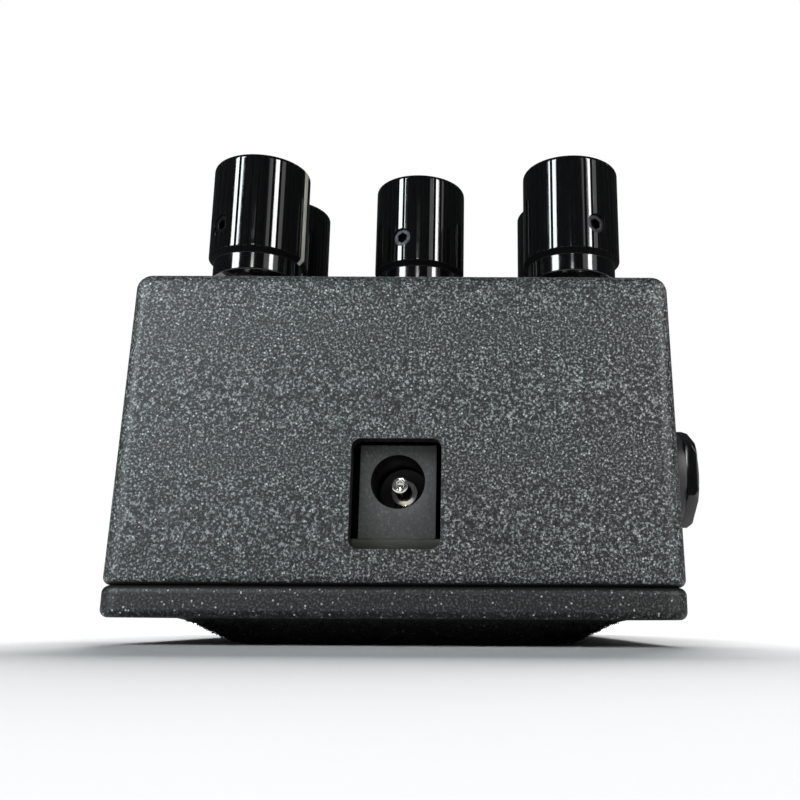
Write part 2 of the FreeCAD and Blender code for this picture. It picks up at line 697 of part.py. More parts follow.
def make_switch_board():
    """The small board soldered to the foot switch's lugs."""
    body = new_body("switch_board")
    outline = sketch_on(body, "XY_Plane", "switch_bottom - 4.2 - board_thick")
    add_rounded_rectangle(outline, "switch_board_size", "switch_board_size", "1.5", "0",
                          "switch_y")
    pad(body, outline, "board_thick")
    node(body, "switch_board")


def ribbon(points, wide, thick=0.9):
    """A flat cable that bends in the YZ plane; points are y, z pairs, rounded by arcs."""
    corners = [V(0, y, z) for y, z in points]
    edges, start = [], corners[0]
    for before, here, after in zip(corners, corners[1:], corners[2:]):
        back, ahead = before - here, after - here
        reach = 0.4 * min(back.Length, ahead.Length)
        p = here + back.normalize() * reach
        q = here + ahead.normalize() * reach
        turn = back.getAngle(ahead)
        radius = reach * math.tan(turn / 2)
        inward = (back + ahead).normalize()
        middle = here + inward * (math.hypot(reach, radius) - radius)
        edges += [Part.LineSegment(start, p).toShape(), Part.Arc(p, middle, q).toShape()]
        start = q
    edges.append(Part.LineSegment(start, corners[-1]).toShape())
    across = (corners[1] - corners[0]).normalize()
    side = V(0, -across.z, across.y)
    first = corners[0]
    half = V(wide / 2, 0, 0)
    shift = side * (thick / 2)
    section = Part.makePolygon([first - half - shift, first + half - shift,
                                first + half + shift, first - half + shift,
                                first - half - shift])
    return Part.Wire(edges).makePipeShell([section], True, False)


def make_ribbons():
    """Flat cables from the main board to the jack board and to the switch board."""
    upper = value("board_bottom")
    lower = value("jack_board_bottom + board_thick")
    switch = value("switch_bottom - 4.2")
    behind = value("jack_board_y1") - 2.5
    ahead = value("switch_y - switch_board_size / 2") + 1.5
    routes = {
        "ribbon_to_jack_board": (16.0, [(behind, lower), (behind, lower + 7),
                                        (behind + 3.5, upper - 7), (behind + 3.5, upper)]),
        "ribbon_to_switch_board": (12.0, [(ahead, switch), (ahead, switch + 4),
                                          (ahead - 4, upper - 4), (ahead - 4, upper)]),
    }
    for name, (wide, points) in routes.items():
        cable = doc.addObject("Part::Feature", name)
        cable.Shape = ribbon(points, wide)
        node(cable, name)


# ---------------------------------------------------------------- sockets

def make_power_socket():
    """A barrel socket with a centre pin, set back behind its opening."""
    face, middle = "dc_face", "dc_centre"
    shell = doc.addObject("Part::Box", "shell")
    for name, text in (("Length", "dc_wide"), ("Width", "dc_deep"), ("Height", "dc_high")):
        shell.setExpression(name, bind(text))
    place(shell, ("0 - dc_wide / 2", face, "dc_bottom"))
    bore = rod("dc_bore", "dc_depth", ("0", face, middle), "y")
    slot = box(("2.6", "7", "dc_high / 2"), ("0", f"{face} + 9"), "dc_bottom")
    node(cut(shell, bore, slot), "power_socket_body")
    pin_start = f"{face} + dc_pin_back"
    shank = rod("dc_pin", "dc_depth - dc_pin_back", ("0", pin_start, middle), "y")
    dimple = rod("dc_pin * 0.45", "1", ("0", pin_start, middle), "y")
    collar = rod("dc_collar", "1", ("0", f"{face} + dc_depth - 1", middle), "y")
    node(cut(fuse(shank, collar), dimple), "power_socket_pin")
    leaf = box(("2.2", "6", "0.4"), ("0", f"{face} + 8.6"), f"{middle} - dc_bore + 0.1")
    tail = box(("2.2", "0.5", f"{middle} - dc_bore + 0.5 - (dc_bottom)"),
               ("0", f"{face} + 11.4"), "dc_bottom")
    node(fuse(leaf, tail), "power_socket_contact")


def make_side_socket(name, side, y):
    """A quarter-inch socket: a board-mounted body whose threaded nose leaves the box."""
    outward = "x" if side > 0 else "-x"
    wall_in = "side_x - wall - 0.9"
    centre_x = f"{side} * ({wall_in} - side_body_long / 2)"
    block = box(("side_body_long", "side_body_wide", "side_body_high"), (centre_x, y),
                "dc_bottom")
    start = f"{side} * ({wall_in} - 1)"
    nose = rod("side_bushing", "side_proud + wall + 1.9", (start, y, "side_z"), outward)
    bore_start = f"{side} * ({wall_in} - side_body_long + 1.5)"
    bore = rod("side_bore", "60", (bore_start, y, "side_z"), outward)
    pocket_x = f"{side} * ({wall_in} - side_body_long / 2 - 2)"
    spring_room = box(("14", "4", "7.4"), (pocket_x, y), "side_z")
    node(cut(fuse(block, nose), bore, spring_room), f"{name}_socket_body")
    leaf = box(("12", "3", "0.4"), (pocket_x, y), "side_z + side_bore + 0.3")
    hook = rod("0.8", "3", (f"{side} * ({wall_in} - side_body_long + 5)", f"{y} + 1.5",
                            "side_z + side_bore + 0.95"), "-y")
    node(fuse(leaf, hook), f"{name}_socket_contact")


def make_side_hardware():
    """The thick black washer and the nut that clamp each side socket to the sloping wall."""
    slope = math.tan(math.radians(SIZES["draft_angle"]))
    low_edge = value("side_axis - side_washer_radius - lid_thick")
    flat_x = value("side_x") - slope * low_edge + 0.02
    washers, nuts = [], []
    for side, y in SIDE_SOCKETS:
        outward = "x" if side > 0 else "-x"
        at = (f"{side} * {flat_x:.4f}", y, "side_z")
        washers.append(ring("side_washer_radius", "side_bushing + 0.05", "side_washer", at,
                            outward))
        outer = (f"{side} * ({flat_x:.4f} + side_washer)", y, "side_z")
        nuts.append(nut("side_nut_radius", "side_nut_high", "side_bushing + 0.02", outer,
                        outward, SIZES["side_nut_turn"]))
    group(washers, "socket_washers")
    group(nuts, "socket_nuts")


# ---------------------------------------------------------------- whole pedal

make_enclosure()
make_lid()
make_lid_screws()
make_pad()
for control in rows():
    make_control(*control)
make_pot_hardware()
make_footswitch()
make_lamp()
make_main_board()
make_main_board_parts()
make_jack_board()
make_switch_board()
make_ribbons()
make_power_socket()
for name, (side, y) in zip(("input", "output"), SIDE_SOCKETS):
    make_side_socket(name, side, y)
make_side_hardware()
doc.recompute()

for thing in doc.Objects:
    if {"Invalid", "Error"} & set(thing.State):
        raise RuntimeError(f"{thing.Name} ({thing.Label}) failed: {thing.State}")
for piece in NODES:
    if piece.Shape.isNull() or not piece.Shape.isValid() or piece.Shape.Volume <= 0:
        raise RuntimeError(f"{piece.Label} has no valid solid")

os.makedirs("parts", exist_ok=True)
for piece in NODES:
    piece.Shape.exportStep(f"parts/{piece.Label}.step")
print(len(NODES), "nodes written")
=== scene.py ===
import json
import math
import random

import bmesh
import bpy
from mathutils import Matrix, Vector

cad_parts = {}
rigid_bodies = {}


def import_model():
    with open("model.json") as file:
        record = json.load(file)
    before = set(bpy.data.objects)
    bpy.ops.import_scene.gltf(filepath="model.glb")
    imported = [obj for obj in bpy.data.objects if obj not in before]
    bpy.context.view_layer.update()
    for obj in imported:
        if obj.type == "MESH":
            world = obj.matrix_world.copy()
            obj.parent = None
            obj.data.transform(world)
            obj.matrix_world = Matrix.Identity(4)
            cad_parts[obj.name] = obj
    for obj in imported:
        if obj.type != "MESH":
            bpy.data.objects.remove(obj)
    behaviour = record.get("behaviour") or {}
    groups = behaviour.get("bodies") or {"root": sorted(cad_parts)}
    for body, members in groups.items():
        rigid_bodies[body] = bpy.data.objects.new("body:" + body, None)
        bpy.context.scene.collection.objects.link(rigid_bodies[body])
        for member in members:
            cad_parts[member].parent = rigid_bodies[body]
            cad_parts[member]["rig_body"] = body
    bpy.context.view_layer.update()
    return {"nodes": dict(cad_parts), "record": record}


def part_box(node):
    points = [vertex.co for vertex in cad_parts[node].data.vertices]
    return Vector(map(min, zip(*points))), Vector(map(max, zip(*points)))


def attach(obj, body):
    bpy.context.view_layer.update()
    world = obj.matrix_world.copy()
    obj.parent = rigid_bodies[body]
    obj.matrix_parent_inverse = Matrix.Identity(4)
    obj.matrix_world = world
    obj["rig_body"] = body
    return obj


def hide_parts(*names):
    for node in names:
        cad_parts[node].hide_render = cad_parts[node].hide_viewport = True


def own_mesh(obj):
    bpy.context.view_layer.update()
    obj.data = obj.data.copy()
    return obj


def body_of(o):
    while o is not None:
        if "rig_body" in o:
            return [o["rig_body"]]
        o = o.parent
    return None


MM = 0.001

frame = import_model()
nodes = frame["nodes"]
CONTROLS = ("near_left", "near_right", "centre", "far_left", "far_right")

# Millimetres: the seam's height, the limits of the power opening (half its width, its foot and
# its head), and a plane just behind the power socket's face.
SEAM, SEAM_SHADE_REACH = 6.55, 0.5
POWER_OPENING = (5.4, 10.2, 23.7)
SOCKET_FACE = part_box("power_socket_body")[0].y / MM + 0.35


# ------------------------------------------------------------------ material tools

class Material:
    """Builds one procedural material on a Principled shader, in the model's own metres."""

    def __init__(self, name, colour, roughness, metallic=0.0, specular=0.5):
        self.data = bpy.data.materials.new(name)
        self.data.use_nodes = True
        self.tree = self.data.node_tree
        self.shader = self.tree.nodes["Principled BSDF"]
        self.set("Base Color", (*colour, 1.0))
        self.set("Roughness", roughness)
        self.set("Metallic", metallic)
        self.set("Specular IOR Level", specular)
        self.place = self.tree.nodes.new("ShaderNodeTexCoord").outputs["Object"]

    def set(self, socket, value):
        self.shader.inputs[socket].default_value = value

    def link(self, output, socket):
        self.tree.links.new(output, self.shader.inputs[socket])

    def new(self, kind, inputs=(), **settings):
        made = self.tree.nodes.new(f"ShaderNode{kind}")
        for name, value in settings.items():
            setattr(made, name, value)
        for name, value in dict(inputs).items():
            if isinstance(value, bpy.types.NodeSocket):
                self.tree.links.new(value, made.inputs[name])
            else:
                made.inputs[name].default_value = value
        return made

    def stretched(self, scale):
        """The coordinates, squeezed or drawn out along each axis."""
        return self.new("Mapping", {"Vector": self.place, "Scale": scale}).outputs["Vector"]

    def noise(self, size, detail=3.0, roughness=0.5, place=None):
        """Smooth noise whose blobs are about one size, in millimetres."""
        inputs = {"Vector": place or self.place, "Scale": 1.0 / (size * MM),
                  "Detail": detail, "Roughness": roughness}
        return self.new("TexNoise", inputs).outputs["Fac"]

    def cells(self, size, feature="F1", output="Color"):
        """Random cells about one size across, in millimetres."""
        made = self.new("TexVoronoi", {"Vector": self.place, "Scale": 1.0 / (size * MM)},
                        feature=feature)
        return made.outputs[output]

    def ramp(self, value, stops, smooth=False):
        made = self.new("ValToRGB", {"Fac": value})
        made.color_ramp.interpolation = "EASE" if smooth else "LINEAR"
        elements = made.color_ramp.elements
        while len(elements) < len(stops):
            elements.new(0.5)
        for element, (position, level) in zip(elements, stops):
            element.position = position
            element.color = (*level, 1.0) if isinstance(level, tuple) else (level,) * 3 + (1.0,)
        return made.outputs["Color"]

    def maths(self, operation, a, b):
        return self.new("Math", {0: a, 1: b}, operation=operation).outputs["Value"]

    def mix(self, amount, a, b, blend="MIX"):
        made = self.new("Mix", data_type="RGBA", blend_type=blend)
        for index, value in ((0, amount), (6, a), (7, b)):
            if isinstance(value, bpy.types.NodeSocket):
                self.tree.links.new(value, made.inputs[index])
            else:
                made.inputs[index].default_value = value
        return made.outputs[2]

    def facing(self, axis):
        """How squarely a surface faces along an axis, 0 to 1."""
        normal = self.new("NewGeometry").outputs["True Normal"]
        part = self.new("SeparateXYZ", {"Vector": normal}).outputs[axis]
        return self.maths("ABSOLUTE", part, 0.0)

    def inside(self, half_wide, low, high):
        """Mask for painted shade: 1 on the walls of an opening through the socket end, given its
        limits in millimetres.
        """
        spot = self.new("SeparateXYZ", {"Vector": self.place}).outputs
        mask = self.maths("LESS_THAN", self.maths("ABSOLUTE", spot["X"], 0.0), half_wide * MM)
        mask = self.maths("MULTIPLY", mask, self.maths("GREATER_THAN", spot["Z"], low * MM))
        mask = self.maths("MULTIPLY", mask, self.maths("LESS_THAN", spot["Z"], high * MM))
        return self.maths("MULTIPLY", mask, self.maths("LESS_THAN", self.facing("Y"), 0.6))

    def shadow_gap(self, height, reach):
        """Mask for painted shade in a gap: 1 at a height, fading to 0 a reach above and below it,
        in millimetres.
        """
        level = self.new("SeparateXYZ", {"Vector": self.place}).outputs["Z"]
        away = self.maths("ABSOLUTE", self.maths("SUBTRACT", level, height * MM), 0.0)
        return self.ramp(self.maths("DIVIDE", away, reach * MM), [(0.55, 1.0), (1.0, 0.0)])

    def bump(self, height, distance, strength=1.0, under=None):
        """Relief of one depth in millimetres; under is a bump that it adds to."""
        inputs = {"Height": height, "Distance": distance * MM, "Strength": strength}
        if under is not None:
            inputs["Normal"] = under
        return self.new("Bump", inputs).outputs["Normal"]


def powder_coat(name, tone, contrast=1.0, opening=None):
    """Sand-textured charcoal coat, with painted shade in the seam and painted shade, black, on the
    walls of an opening.
    """
    flake = 0.30
    coat = Material(name, tone, 0.45, specular=0.35)
    grain = coat.noise(0.29, 3.0, 0.7)
    levels = [(0.39, 0.0), (0.45, 0.25), (0.52, 1.0), (0.57, 3.0), (0.64, 9.5)]
    stops = [(0.5 + (position - 0.5) / contrast, tuple(c * level for c in tone))
             for position, level in levels]
    base = coat.ramp(grain, stops)
    tint = coat.ramp(coat.noise(16.0, 2.0), [(0.35, (0.96, 1.0, 0.99)), (0.65, (1.03, 1.0, 1.01))])
    base = coat.mix(1.0, base, tint, "MULTIPLY")
    # Real flakes in the coat, painted near white in the base colour as their glints.
    chance = coat.new("SeparateColor", {"Color": coat.cells(flake)}).outputs[0]
    flake_glint = coat.ramp(chance, [(0.935, 0.0), (0.97, 1.0)])
    core = coat.ramp(coat.cells(flake, output="Distance"), [(0.25, 1.0), (0.45, 0.0)])
    amount = coat.maths("MULTIPLY", flake_glint, core)
    base = coat.mix(amount, base, (0.80, 0.84, 0.84, 1.0))
    # Painted shade: the seam between body and lid is coloured near black, fading out above and
    # below it.
    base = coat.mix(coat.shadow_gap(SEAM, SEAM_SHADE_REACH), base, (0.003, 0.003, 0.003, 1.0))
    if opening:
        # Painted shade: the walls of the power opening are coloured near black.
        base = coat.mix(coat.inside(*opening), base, (0.004, 0.004, 0.004, 1.0))
    coat.link(base, "Base Color")
    relief = coat.bump(grain, 0.05, 0.5)
    coat.link(coat.bump(coat.noise(1.1, 2.0), 0.06, 0.3, relief), "Normal")
    coat.link(coat.ramp(amount, [(0.0, 0.5), (1.0, 0.22)]), "Roughness")
    return coat.data


def gloss_black(name, colour=(0.004, 0.004, 0.0045), roughness=0.07):
    """Polished black with the faintest haze and scratches, and dull down in any grooves."""
    made = Material(name, colour, roughness, specular=0.55)
    haze = made.noise(2.5, 4.0, 0.6)
    shine = made.ramp(haze, [(0.3, roughness * 0.7), (0.75, roughness * 1.9)])
    groove = made.new("Attribute", attribute_name="groove").outputs["Fac"]
    made.link(made.mix(groove, shine, (0.9, 0.9, 0.9, 1.0)), "Roughness")
    made.link(made.ramp(groove, [(0.0, 0.55), (1.0, 0.06)]), "Specular IOR Level")
    scratches = made.noise(0.25, 2.0, 0.5, made.stretched((1.0, 1.0, 0.08)))
    made.link(made.bump(scratches, 0.0015, 0.1), "Normal")
    return made.data


def plastic(name, colour, roughness=0.5, speck=0.12, grain=0.22):
    """Moulded plastic with a fine satin texture."""
    made = Material(name, colour, roughness, specular=0.45)
    tone = made.noise(3.0, 3.0)
    low = tuple(c * (1.0 - speck) for c in colour)
    high = tuple(c * (1.0 + speck) for c in colour)
    made.link(made.ramp(tone, [(0.3, low), (0.7, high)]), "Base Color")
    made.link(made.bump(made.noise(grain, 2.0), 0.012, 0.5), "Normal")
    made.link(made.ramp(made.noise(1.4, 3.0), [(0.3, roughness * 0.85), (0.7, roughness * 1.15)]),
              "Roughness")
    return made.data


def socket_plastic(name):
    """Moulded black: a satin face with fine specks, and painted shade, near black, on its sides
    and in its bores.
    """
    made = Material(name, (0.06, 0.062, 0.062), 0.45, specular=0.4)
    specks = made.ramp(made.noise(0.35, 3.0, 0.7), [(0.35, 0.068), (0.6, 0.095), (0.75, 0.22)])
    along = made.new("SeparateXYZ", {"Vector": made.place}).outputs["Y"]
    # Painted shade: all but the face that looks out through the opening is coloured near black,
    # sides and bores alike.
    near = made.maths("LESS_THAN", along, SOCKET_FACE * MM)
    share = made.maths("MULTIPLY", near, made.ramp(made.facing("Y"), [(0.55, 0.0), (0.9, 1.0)]))
    made.link(made.mix(share, (0.004, 0.004, 0.004, 1.0), specks), "Base Color")
    made.link(made.bump(made.noise(0.5, 2.0), 0.02, 0.5), "Normal")
    return made.data


def metal(name, colour, roughness, streak=(1.0, 1.0, 1.0), depth=0.004):
    """Turned or plated metal: drawn-out fine streaks and slightly uneven polish."""
    made = Material(name, colour, roughness, metallic=1.0)
    lines = made.noise(0.35, 3.0, 0.6, made.stretched(streak))
    low = tuple(c * 0.86 for c in colour)
    made.link(made.ramp(made.noise(1.8, 3.0), [(0.3, low), (0.7, colour)]), "Base Color")
    made.link(made.ramp(lines, [(0.3, roughness * 0.7), (0.7, roughness * 1.35)]), "Roughness")
    made.link(made.bump(lines, depth, 0.5), "Normal")
    return made.data


def circuit_board(name):
    """Green solder resist over tracks, with an olive glass-cloth core at its edges."""
    made = Material(name, (0.03, 0.10, 0.04), 0.38)
    tracks = made.cells(2.6, feature="DISTANCE_TO_EDGE", output="Distance")
    mask = made.ramp(tracks, [(0.06, 1.0), (0.09, 0.0)])
    face = made.mix(mask, (0.02, 0.075, 0.03, 1.0), (0.045, 0.15, 0.06, 1.0))
    flat = made.facing("Z")
    edge = made.ramp(made.noise(0.5, 2.0, 0.5, made.stretched((0.15, 0.15, 3.0))),
                     [(0.3, (0.016, 0.015, 0.008)), (0.7, (0.028, 0.026, 0.014))])
    made.link(made.mix(flat, edge, face), "Base Color")
    made.link(made.bump(mask, 0.02, 0.6), "Normal")
    return made.data


def fibre(name):
    """Black nylon fibre with tiny pale specks painted on as glints."""
    made = Material(name, (0.002, 0.002, 0.0022), 0.55, specular=0.3)
    chance = made.new("SeparateColor", {"Color": made.cells(0.16)}).outputs[0]
    # Painted glints: sparse pale specks in the base colour.
    specks = made.ramp(chance, [(0.975, (0.002, 0.002, 0.0022)), (0.995, (0.20, 0.21, 0.21))])
    made.link(specks, "Base Color")
    made.set("Sheen Weight", 0.03)
    made.set("Sheen Roughness", 0.4)
    made.link(made.bump(made.noise(0.30, 3.0, 0.7), 0.20, 0.9), "Normal")
    return made.data


def lens(name):
    """Milky lamp lens."""
    made = Material(name, (0.80, 0.80, 0.76), 0.22)
    made.set("Transmission Weight", 0.55)
    made.set("IOR", 1.49)
    milk = [(0.3, (0.72, 0.72, 0.68)), (0.7, (0.84, 0.84, 0.8))]
    made.link(made.ramp(made.noise(0.8, 2.0), milk), "Base Color")
    return made.data


def resistor_paint(name):
    """Pale blue lacquer with bands across the body; the bands carry no meaning."""
    made = Material(name, (0.25, 0.45, 0.58), 0.35)
    along = made.new("SeparateXYZ", {"Vector": made.place}).outputs["Y"]
    wave = made.maths("SINE", made.maths("MULTIPLY", along, 2 * math.pi / (1.5 * MM)), 0.0)
    made.link(made.ramp(wave, [(0.55, (0.25, 0.45, 0.58)), (0.7, (0.30, 0.06, 0.03))]),
              "Base Color")
    return made.data


def ribbon_cable(name):
    """Grey parallel-wire cable: a ridge for each wire, with painted shade in the dips between
    them.
    """
    made = Material(name, (0.38, 0.38, 0.39), 0.45)
    across = made.new("SeparateXYZ", {"Vector": made.place}).outputs["X"]
    wave = made.maths("SINE", made.maths("MULTIPLY", across, 2 * math.pi / (1.27 * MM)), 0.0)
    # Painted shade: the colour darkens into the dips between the wires.
    made.link(made.ramp(wave, [(0.0, (0.26, 0.26, 0.27)), (0.5, (0.40, 0.40, 0.41))]),
              "Base Color")
    made.link(made.bump(wave, 0.15, 0.8), "Normal")
    return made.data


MATERIALS = {
    "powder_coat": powder_coat("powder_coat", (0.052, 0.056, 0.056), opening=POWER_OPENING),
    # The lid's coat is the body's coat painted about a quarter as bright: painted shade on the low
    # lid, which gets less light than the body.
    "lid_coat": powder_coat("lid_coat", (0.013, 0.0135, 0.0135), 1.1),
    "zinc_screw": metal("zinc_screw", (0.62, 0.62, 0.60), 0.28),
    "hook_fibre": fibre("hook_fibre"),
    "black_knob": gloss_black("black_knob"),
    "cream_line": plastic("cream_line", (0.92, 0.89, 0.77), 0.4, 0.05),
    "black_oxide_screw": metal("black_oxide_screw", (0.018, 0.018, 0.020), 0.42),
    "shaft_metal": metal("shaft_metal", (0.66, 0.66, 0.66), 0.22, (0.2, 0.2, 1.0)),
    "pot_case": plastic("pot_case", (0.03, 0.03, 0.032), 0.45),
    "nickel": metal("nickel", (0.74, 0.72, 0.68), 0.16),
    "dark_nickel": metal("dark_nickel", (0.16, 0.155, 0.14), 0.2),
    "black_nickel": gloss_black("black_nickel", (0.006, 0.006, 0.006), 0.09),
    "socket_black": socket_plastic("socket_black"),
    "switch_blue": plastic("switch_blue", (0.015, 0.08, 0.26), 0.4),
    "lamp_lens": lens("lamp_lens"),
    "circuit_board": circuit_board("circuit_board"),
    "chip_black": plastic("chip_black", (0.015, 0.015, 0.015), 0.55),
    "can_sleeve": plastic("can_sleeve", (0.02, 0.035, 0.12), 0.25),
    "film_red": plastic("film_red", (0.40, 0.05, 0.035), 0.25),
    "resistor_body": resistor_paint("resistor_body"),
    "ribbon_grey": ribbon_cable("ribbon_grey"),
    "contact_metal": metal("contact_metal", (0.80, 0.62, 0.28), 0.2),
}


def finish_cad_nodes():
    """Gives every CAD piece the procedural material of its slot in the record."""
    for part in frame["record"]["subparts"]:
        piece = nodes[part["node"]]
        if not piece.material_slots:
            piece.data.materials.append(None)
        for slot in piece.material_slots:
            slot.link = "OBJECT"
            slot.material = MATERIALS[part["material_slot"]]


# ------------------------------------------------------------------ mesh tools

def add_piece(name, mesh, material, body, *stands_for):
    """A finished mesh as a piece that rides on a body and stands for CAD nodes."""
    mesh.materials.clear()
    mesh.materials.append(MATERIALS[material])
    piece = bpy.data.objects.new(name, mesh)
    bpy.context.collection.objects.link(piece)
    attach(piece, body)
    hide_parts(*stands_for)
    return piece


def smooth(mesh, angle=35.0):
    """Smooth shading that keeps the edges sharper than an angle."""
    for face in mesh.polygons:
        face.use_smooth = True
    mesh.set_sharp_from_angle(angle=math.radians(angle))
    return mesh


def skin(name, ring_sets):
    """Skins lists of rings; a list whose ends differ is capped, and one that closes is joined."""
    points, faces = [], []
    for rings, capped in ring_sets:
        count, first = len(rings[0]), len(points)
        points += [tuple(p) for ring in rings for p in ring]
        levels = len(rings)
        for level in range(levels - 1 if capped else levels):
            low, high = first + level * count, first + (level + 1) % levels * count
            for step in range(count):
                after = (step + 1) % count
                faces.append((low + step, low + after, high + after, high + step))
        if capped:
            last = first + (levels - 1) * count
            faces.append(tuple(range(first + count - 1, first - 1, -1)))
            faces.append(tuple(range(last, last + count)))
    mesh = bpy.data.meshes.new(name)
    mesh.from_pydata(points, [], faces)
    return mesh


def subtract(mesh, cutter):
    """The mesh less a cutter mesh."""
    base = bpy.data.objects.new("base", mesh)
    tool = bpy.data.objects.new("tool", cutter)
    for thing in (base, tool):
        bpy.context.collection.objects.link(thing)
    cut = base.modifiers.new("cut", "BOOLEAN")
    cut.object, cut.operation, cut.solver = tool, "DIFFERENCE", "EXACT"
    depsgraph = bpy.context.evaluated_depsgraph_get()
    result = bpy.data.meshes.new_from_object(base.evaluated_get(depsgraph))
    for thing in (base, tool):
        bpy.data.objects.remove(thing)
    return result


def round_rod(steps, start, direction, sides=48):
    """Rings of a round rod; steps are (distance along, radius) in millimetres."""
    turn = direction.to_track_quat("Z", "Y")
    angles = [2 * math.pi * i / sides for i in range(sides)]
    return [[start + turn @ Vector((r * math.cos(a), r * math.sin(a), reach)) * MM
             for a in angles] for reach, r in steps]


def slot_of(node):
    """The material slot that the record gives a CAD node."""
    return next(p["material_slot"] for p in frame["record"]["subparts"] if p["node"] == node)


def softened(node, width, angle=30.0, segments=2):
    """A copy of a CAD piece with its sharp edges rounded over by a width in millimetres."""
    source = nodes[node]
    work = bmesh.new()
    work.from_mesh(source.data)
    bmesh.ops.remove_doubles(work, verts=work.verts, dist=1e-6)
    bmesh.ops.dissolve_limit(work, angle_limit=math.radians(1.0), verts=work.verts,
                             edges=work.edges)
    sharp = [edge for edge in work.edges if len(edge.link_faces) == 2
             and edge.calc_face_angle(0.0) > math.radians(angle)]
    bmesh.ops.bevel(work, geom=sharp, offset=width * MM, segments=segments, profile=0.6,
                    affect="EDGES", clamp_overlap=True)
    mesh = bpy.data.meshes.new(node)
    work.to_mesh(mesh)
    work.free()
    return add_piece(f"{node}_finished", smooth(mesh), slot_of(node), body_of(source)[0], node)


# ------------------------------------------------------------------ knobs

KNOB_R, NECK_R, NECK_HIGH, KNOB_HIGH, TOP_ROUND = 7.0, 6.3, 2.6, 14.86, 0.7
FLUTES, GROOVE_WIDE, GROOVE_DEEP = 45, 0.38, 0.20
REST_ANGLES = {"near_left": -12.0, "near_right": 54.0, "centre": 7.7, "far_left": -90.0,
               "far_right": -130.0}
GRUB_TURN, GRUB_HIGH = -118.0, 4.5


def knob_profile():
    """(height, radius) up the outside of a knob, from its foot to the edge of its flat top."""
    shoulder = NECK_HIGH + 0.68
    crown = NECK_HIGH + KNOB_HIGH - TOP_ROUND
    low = [(0.0, NECK_R - 0.2), (0.06, NECK_R - 0.06), (0.2, NECK_R), (0.3, NECK_R),
           (NECK_HIGH - 0.18, NECK_R), (NECK_HIGH - 0.08, NECK_R), (NECK_HIGH, NECK_R + 0.03),
           (shoulder - 0.10, KNOB_R - 0.09), (shoulder - 0.02, KNOB_R - 0.02),
           (shoulder + 0.06, KNOB_R), (shoulder + 0.16, KNOB_R), (crown - 0.12, KNOB_R),
           (crown, KNOB_R)]
    turns = [math.radians(a) for a in (15, 30, 45, 60, 75, 90)]
    return low + [(crown + TOP_ROUND * math.sin(a), KNOB_R - TOP_ROUND * (1 - math.cos(a)))
                  for a in turns]


def flute_samples():
    """(angle, depth of the groove there) all round a knob; angle 0 is midway on a ridge."""
    pitch = 2 * math.pi / FLUTES
    half = GROOVE_WIDE / KNOB_R / pitch / 2
    across = [0.0, 0.16, 0.5 - 1.25 * half] + [0.5 + half * math.sin(math.radians(a))
              for a in (-90, -75, -55, -28, 0, 28, 55, 75, 90)] + [0.5 + 1.25 * half, 0.84]
    samples = []
    for flute in range(FLUTES):
        for part in across:
            reach = min(1.0, abs(part - 0.5) / half)
            samples.append(((flute + part) * pitch, GROOVE_DEEP * math.sqrt(1 - reach ** 2)))
    return samples


def mark_grooves(mesh, foot, rest, hole_start, outward):
    """Marks each point of a knob: 1 where it is dull, in its grooves, chamfer and screw hole."""
    marks = mesh.attributes.new("groove", "FLOAT", "POINT")
    pitch = 2 * math.pi / FLUTES
    half = GROOVE_WIDE / KNOB_R / pitch / 2
    crown = NECK_HIGH + KNOB_HIGH - TOP_ROUND
    for point, mark in zip(mesh.vertices, marks.data):
        away = (point.co - foot) / MM
        radius = math.hypot(away.x, away.y)
        part = (math.atan2(away.y, away.x) - rest) / pitch % 1.0
        in_groove = abs(part - 0.5) < 0.97 * half and away.z < crown + 0.6
        on_chamfer = away.z < NECK_HIGH + 0.7
        reach = (point.co - hole_start) / MM
        from_axis = (reach - outward * reach.dot(outward)).length
        in_hole = from_axis < 1.75 and radius < KNOB_R - 0.08
        on_side = away.z > NECK_HIGH - 0.02 and radius > NECK_R
        mark.value = float(in_hole or (on_side and (in_groove or on_chamfer)))


def make_knob(name):
    """A fluted knob with a set-screw hole, its cream pointer line and the knob's own bore."""
    low_corner, high_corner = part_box(f"knob_{name}")
    middle = (low_corner + high_corner) / 2
    foot = Vector((middle.x, middle.y, low_corner.z))
    rest = math.radians(REST_ANGLES[name])
    samples = flute_samples()
    inside = [(12.0, 3.05), (0.2, 3.05), (0.0, 3.25)]
    rings = []
    for height, radius in inside + knob_profile():
        ring = []
        for angle, depth in samples:
            r = min(radius, KNOB_R - depth)
            aim = rest + angle
            ring.append(foot + Vector((r * math.cos(aim), r * math.sin(aim), height)) * MM)
        rings.append(ring)
    top = NECK_HIGH + KNOB_HIGH
    for radius in (KNOB_R - TOP_ROUND - 0.5, 3.0):
        rings.append([foot + Vector((radius * math.cos(rest + a), radius * math.sin(rest + a),
                                     top)) * MM for a, _ in samples])
    aim = rest + math.radians(GRUB_TURN)
    outward = Vector((math.cos(aim), math.sin(aim), 0.0))
    start = foot + Vector((0.0, 0.0, NECK_HIGH + GRUB_HIGH)) * MM
    hole = round_rod([(1.0, 1.4), (6.8, 1.4), (7.2, 1.52)], start, outward)
    mesh = subtract(skin(name, [(rings, True)]), skin("hole", [(hole, True)]))
    mark_grooves(mesh, foot, rest, start, outward)
    add_piece(f"knob_{name}_fluted", smooth(mesh, 28.0), "black_knob", f"control_{name}",
              f"knob_{name}")
    make_pointer(name, foot, rest)
    softened(f"grub_screw_{name}", 0.06)


